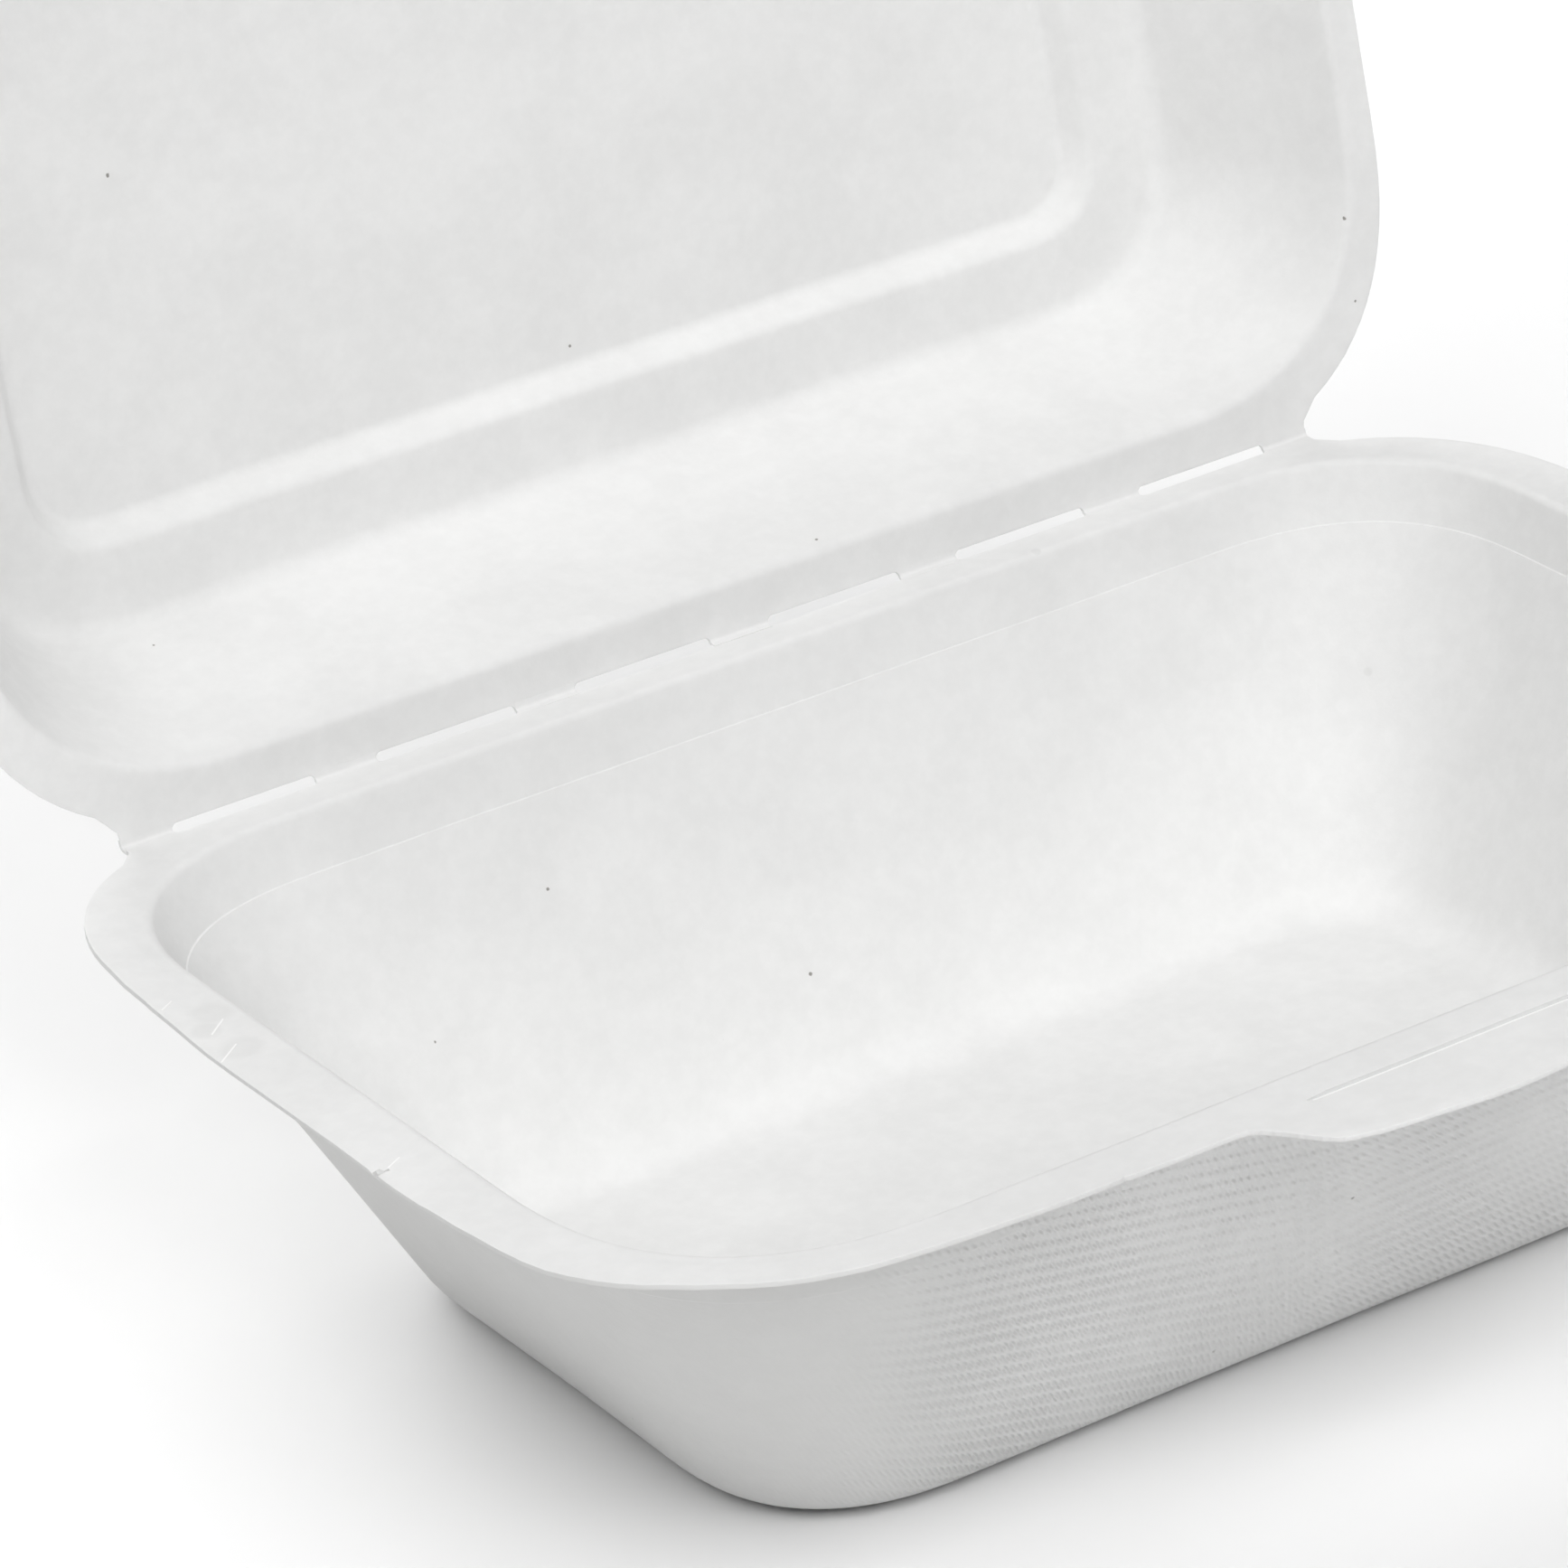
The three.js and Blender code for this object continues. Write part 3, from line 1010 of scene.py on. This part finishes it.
@dataclass
class Lid(Sheet):
    """The upper half, drawn as a tray and stood up about the fold."""

    bend_width: float = 9.3
    wall_depth: float = 25.0
    swells: tuple[Swell, ...] = (
        Swell(0.25, 75.0, 5.1),
        Swell(0.25, 75.0, 6.4),
        Swell(0.35, 120.0, 4.2),
        Swell(0.08, 50.0, 1.9),
    )

    def shape(self, grid: np.ndarray) -> np.ndarray:
        """Adds a slight bow, and bends the rim to lie on the base's warped rim when shut."""
        x, y, z = grid[..., 0], grid[..., 1], grid[..., 2]
        edge = grid[0, :, :2]
        inwards = np.hypot(x - edge[None, :, 0], y - edge[None, :, 1])
        bend = np.clip(1 - inwards / self.bend_width, 0, 1) ** self.warp_power
        z -= np.clip(self.lift(edge * (-1, 1)), 0, None)[None, :] * bend
        depth = np.clip(-z / self.wall_depth, 0, 1)
        x += self.swells[0].at(y, z) * depth
        y += self.swells[1].at(x, z) * depth
        z += self.swells[2].at(x, y) * depth + self.swells[3].at(x, y)
        return grid

    def place(self) -> Matrix:
        """Turned over, lifted by half the fold's gap, and opened about the fold."""
        over = Matrix.Rotation(pi, 4, "Y")
        lift = Matrix.Translation((0, 0, self.rim.fold_gap / 2))
        opened = Matrix.Rotation(-OPEN_ANGLE, 4, "X")
        return Matrix.Translation(FOLD_AXIS) @ Matrix.Scale(MM, 4) @ opened @ lift @ over


# Places taken from the frame

JOINT = frame["joints"][0]
FOLD_AXIS = Vector(JOINT["pos_m"])
OPEN_ANGLE = radians(-JOINT["range_deg"][0])
BASE_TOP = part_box("base_tray")[1].z
BASE_ORIGIN = Vector((0.0, FOLD_AXIS.y, BASE_TOP))


@dataclass
class FoldBridges:
    """The strips of sheet between the slots, bent to the lid's open angle. Millimetres."""

    rim: Rim
    finish: Material
    reach: float = 1.0
    proud: float = 0.004
    thickness: float = 0.5
    knee_out: float = 0.6
    knee_down: float = 0.4
    knee_pull: float = 0.55
    bend_steps: int = 8
    width_steps: int = 6

    def spans(self) -> list[Pair]:
        """Both ends of each bridge along the fold."""
        half = self.rim.fold_length / 2
        edges = [-half]
        for middle in self.rim.slot_middles():
            edges += [middle - self.rim.slot_length / 2, middle + self.rim.slot_length / 2]
        edges.append(half)
        return list(zip(edges[::2], edges[1::2]))

    def profile(self) -> list[Vector]:
        """The bend's inner face, from the base's flange to the lid's, across the fold."""
        gap = self.rim.fold_gap / 2
        lean = OPEN_ANGLE - pi / 2
        up = Vector((sin(lean), cos(lean)))
        away = Vector((cos(lean), -sin(lean)))
        start = Vector((-self.reach, self.proud - gap))
        end = up * self.reach + away * (gap - self.proud)
        knee = Vector((gap * self.knee_out, -gap * self.knee_down))
        first = start.lerp(knee, self.knee_pull)
        last = end.lerp(knee, self.knee_pull)
        points = [start]
        for k in range(self.bend_steps + 1):
            t = k / self.bend_steps
            points.append(first * (1 - t) ** 2 + knee * 2 * t * (1 - t) + last * t * t)
        points.append(end)
        return points

    def make(self) -> list[Object]:
        """Builds every bridge."""
        made = []
        profile = self.profile()
        for number, (low, high) in enumerate(self.spans(), 1):
            xs = np.linspace(low, high, self.width_steps + 1)
            points = [FOLD_AXIS + Vector((x, p.x, p.y)) * MM for p in profile for x in xs]
            wide = len(xs)
            faces = []
            for r in range(len(profile) - 1):
                for c in range(wide - 1):
                    a = r * wide + c
                    faces.append((a, a + 1, a + 1 + wide, a + wide))
            strip = add_mesh(f"fold_bridge_{number}", points, faces, self.finish)
            thicken(strip, self.thickness * MM, 0, 0.0)
            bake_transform(strip)
            made.append(strip)
        return made


@dataclass
class LockTongue:
    """The lid's tongue, which drops through the base's slit. Millimetres."""

    rim: Rim
    finish: Material
    length: float = 38.2
    taper: float = 4.0
    height: float = 4.5
    root: float = 0.25
    setback: float = 1.2
    corner_radius: float = 2.0
    corner_steps: int = 6
    thickness: float = 0.4

    def make(self, place: Matrix) -> Object:
        """Builds the tongue with rounded free corners."""
        half, radius = self.length / 2, self.corner_radius
        outline = [(-half, -self.root), (half, -self.root)]
        for corner, middle in enumerate((half - self.taper, self.taper - half)):
            for k in range(self.corner_steps + 1):
                angle = pi / 2 * (corner + k / self.corner_steps)
                across = middle + radius * cos(angle)
                outline.append((across, self.height - radius + radius * sin(angle)))
        y = self.setback - self.rim.depth + self.thickness / 2
        points = [place @ Vector((x, y, z)) for x, z in outline]
        tongue = add_mesh("lock_tongue", points, [tuple(range(len(points)))[::-1]], self.finish)
        thicken(tongue, self.thickness * MM, 0)
        return tongue


# The picture


@dataclass(frozen=True)
class Studio:
    """A pale floor, soft light from above and the camera at the photograph's viewing angle."""

    frame_pixels: float = 1735.0
    focal_pixels: float = 8481.5
    sensor: float = 36.0
    camera_place: tuple[float, float, float] = (-0.49186, -0.74543, 0.4941)
    view_azimuth: float = -31.038
    view_elevation: float = 25.659
    picture_roll: float = 5.246
    floor_half: float = 4.0
    floor_grain: float = 0.4
    floor_roughness: float = 0.85
    surround: float = 0.02
    lamps: tuple = (
        ("front", (0.0, -1.35, 1.5), (0, 0.05, 0.08), 1.4, 23.2),
        ("right", (1.2, -0.6, 1.7), (0, 0.05, 0.08), 1.2, 6.2),
        ("left", (-1.2, -0.6, 1.7), (0, 0.05, 0.08), 1.2, 17.5),
        ("back", (0.0, 1.4, 1.5), (0, 0, 0.05), 1.4, 8.8),
        ("behind", (0.0, 1.2, 0.6), (0, 0.25, 0), 1.0, 12.0),
    )

    def camera(self) -> None:
        """A long lens, turned as the photograph is."""
        azimuth, elevation = radians(self.view_azimuth), radians(self.view_elevation)
        level = cos(elevation)
        back = Vector((sin(azimuth) * level, -cos(azimuth) * level, sin(elevation)))
        data = bpy.data.cameras.new("camera")
        data.sensor_width = self.sensor
        data.lens = self.focal_pixels / self.frame_pixels * self.sensor
        data.clip_end = 20.0
        lens = add_object("camera", data)
        roll = Matrix.Rotation(-radians(self.picture_roll), 4, "Z")
        lens.matrix_world = Matrix.Translation(self.camera_place) @ facing(-back) @ roll
        bpy.context.scene.camera = lens

    def floor(self) -> None:
        """A wide pale floor under the box."""
        h = self.floor_half
        paint = Paint("floor_paper")
        place = paint.node("ShaderNodeTexCoord", {}, {}, "Object")
        grain = paint.noise(place, self.floor_grain, 2.0)
        colour = paint.blend(grain, (0.9, 0.9, 0.9, 1), (0.93, 0.93, 0.93, 1))
        paper = paint.finish({"Base Color": colour, "Roughness": self.floor_roughness})
        points = [(-h, -h, 0), (h, -h, 0), (h, h, 0), (-h, h, 0)]
        floor = add_mesh("floor", points, [(0, 1, 2, 3)], paper)

    def lamp(self, name: str, place: tuple, aim: tuple, size: float, power: float) -> None:
        """One square soft light."""
        data = bpy.data.lights.new(name, "AREA")
        data.size = size
        data.energy = power
        turn = facing(Vector(aim) - Vector(place))
        add_object(name, data).matrix_world = Matrix.Translation(place) @ turn

    def lights(self) -> None:
        """Large soft lights above and around, and an even weak surround."""
        for lamp in self.lamps:
            self.lamp(*lamp)
        world = bpy.data.worlds.new("surround")
        world.use_nodes = True
        inputs = world.node_tree.nodes["Background"].inputs
        inputs["Color"].default_value = (1, 1, 1, 1)
        inputs["Strength"].default_value = self.surround
        bpy.context.scene.world = world
        bpy.context.scene.view_settings.view_transform = "Standard"

    def make(self) -> None:
        """Builds the whole stage."""
        self.camera()
        self.floor()
        self.lights()


def slope(draft: float) -> float:
    """Sideways run of a wall for each unit of depth."""
    return tan(radians(draft))


def make_base(rim: Rim, inside: Material, outside: Material) -> Object:
    """Builds the base tray.

    Args:
        rim: The shared rim.
        inside: Finish of the inner face.
        outside: Finish of the outer face.

    Returns:
        The base tray's object.
    """
    sheet, depth = 0.65, 56.0
    band, ledge = 8.0, 0.2
    band_draft, wall_draft = 19.3, 25
    band_inset = band * slope(band_draft)
    floor_height = sheet - depth
    wall_inset = band_inset + ledge + (-floor_height - band) * slope(wall_draft)
    places = [0, 4, 8, 12, 16, 18, 19.5, 20.5, 21.5, 22.5, 23.5, 25, 26.5, 28, 29.5, 31, 32.5, 34.5]
    places += [38, 42, 46, 49.7, 50.3, 50.9, 54, 58, 62]
    tray = BaseTray(
        name="base_shell",
        rim=rim,
        bowl=Bowl(
            side=9.3,
            front=8.0,
            back=6.4,
            floor_inset=wall_inset,
            side_ratio=1.09,
            back_reaches=(32.7, 21.0),
            front_reaches=(40.7, 26.0),
        ),
        corners=[
            Corner(-1.6, 0),
            Corner(0, 0, 1.3),
            Corner(band_inset, -band, 0.2, 4),
            Corner(band_inset + ledge, -band - ledge / 3, 0.15, 1),
            Corner(wall_inset, floor_height, 7.5, 22),
            Corner(wall_inset + 12, floor_height, 0, 3),
        ],
        thickness=sheet,
        front_places=places,
        left_extra=(0.822, 0.830),
        split_share=0.826,
    )
    shell = tray.mesh(inside, outside)
    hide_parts("base_tray")
    return shell


def make_lid(rim: Rim, inside: Material, outside: Material) -> Object:
    """Builds the lid.

    Args:
        rim: The shared rim.
        inside: Finish of the inner face.
        outside: Finish of the outer face.

    Returns:
        The lid's object.
    """
    shoulder_depth, step_depth = 29.0, 4.0
    wall_draft, shoulder_width, step_draft = 24, 11.5, 34
    wall_inset = shoulder_depth * slope(wall_draft)
    panel_inset = wall_inset + shoulder_width
    panel_floor = panel_inset + step_depth * slope(step_draft)
    panel_height = -shoulder_depth - step_depth
    top = Lid(
        name="lid_shell",
        rim=rim,
        bowl=Bowl(
            side=5.0,
            front=7.0,
            back=7.4,
            floor_inset=panel_floor,
            back_reaches=(37.0, 37.0 - panel_floor),
            front_reaches=(45.0, 45.0 - panel_floor),
        ),
        corners=[
            Corner(-1.6, 0),
            Corner(0, 0, 1.6),
            Corner(wall_inset, -shoulder_depth, 3.5, 16),
            Corner(panel_inset, -shoulder_depth, 2.0, 4),
            Corner(panel_floor, panel_height, 2.0, 3),
            Corner(panel_floor + 4, panel_height, 0, 2),
        ],
        thickness=0.5,
        front_places=[4.0 * k for k in range(16)],
    )
    shell = top.mesh(inside, outside)
    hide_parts("lid")
    tongue = LockTongue(rim, outside).make(top.place())
    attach(tongue, "lid")
    return shell


def finishes() -> dict[str, Material]:
    """The four finishes, with the specks and creases that the box has, and painted shade where the left
    flange droops.
    """
    base_specks = (
        Speck(0.6, 72.0, 48.3, 0.42),
        Speck(-42.4, 65.5, 36.6, 0.28),
        Speck(-8.4, 55.6, 15.5, 0.3),
        Speck(-65.3, 59.5, 23.8, 0.22),
    )
    lid_specks = (
        Speck(-64.1, 126.5, 128.9, 0.28),
        Speck(16.0, 83.8, 64.0, 0.26),
        Speck(0.1, 119.2, 87.1, 0.24),
        Speck(110.3, 85.7, 84.3, 0.28),
        Speck(109.6, 83.1, 72.5, 0.22),
    )
    wall_specks = (
        Speck(-3.5, -62.1, 27.3, 0.4),
        Speck(-19.4, -52.6, 7.1, 0.45),
        Speck(-19.0, -52.9, 7.8, 0.3),
        Speck(-86.1, -68.1, 46.0, 0.3),
    )
    # Painted shade: darker patches where the left flange droops.
    droop_painted_shade = (
        Speck(-111.8, 30.5, 56.6, 3.0),
        Speck(-114.6, 27.0, 56.0, 2.2),
        Speck(-113.4, 20.0, 55.6, 3.0),
    )
    # Raised lines in the left flange and one along the slit, each painted paler as a painted highlight.
    creases = (
        Crease((-114.47, 25.72), (-111.48, 28.23)),
        Crease((-117.01, 18.86), (-113.46, 21.45)),
        Crease((-116.57, 34.74), (-114.35, 36.36), 0.16),
        Crease((-115.3, -19.2), (-113.2, -18.2)),
        Crease((-22.0, -80.95), (22.0, -80.95), 0.3),
    )
    return {
        "base_inside": FibreFinish(
            "fibre_base_inside", Face.SMOOTH, specks=base_specks, droop_painted_shade=droop_painted_shade, creases=creases
        ).make(),
        "base_outside": FibreFinish(
            "fibre_base_outside", Face.SCREENED, specks=wall_specks, smooth_beyond=-0.073
        ).make(),
        "lid_inside": FibreFinish("fibre_lid_inside", Face.SMOOTH, specks=lid_specks).make(),
        "lid_outside": FibreFinish("fibre_lid_outside", Face.SCREENED).make(),
    }


def main() -> None:
    """Builds the stage and every piece of the box."""
    logging.basicConfig(level=logging.INFO, format="%(name)s: %(message)s")
    Studio().make()
    fibre = finishes()
    rim = Rim()
    base = make_base(rim, fibre["base_inside"], fibre["base_outside"])
    lid = make_lid(rim, fibre["lid_inside"], fibre["lid_outside"])
    for shell, body in ((base, "base"), (lid, "lid")):
        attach(shell, body)
        LOG.info("%s: %d faces", shell.name, len(shell.data.polygons))
    bridges = FoldBridges(rim, fibre["base_inside"]).make()
    LOG.info("%d fold bridges", len(bridges))


if __name__ == "__main__":
    main()
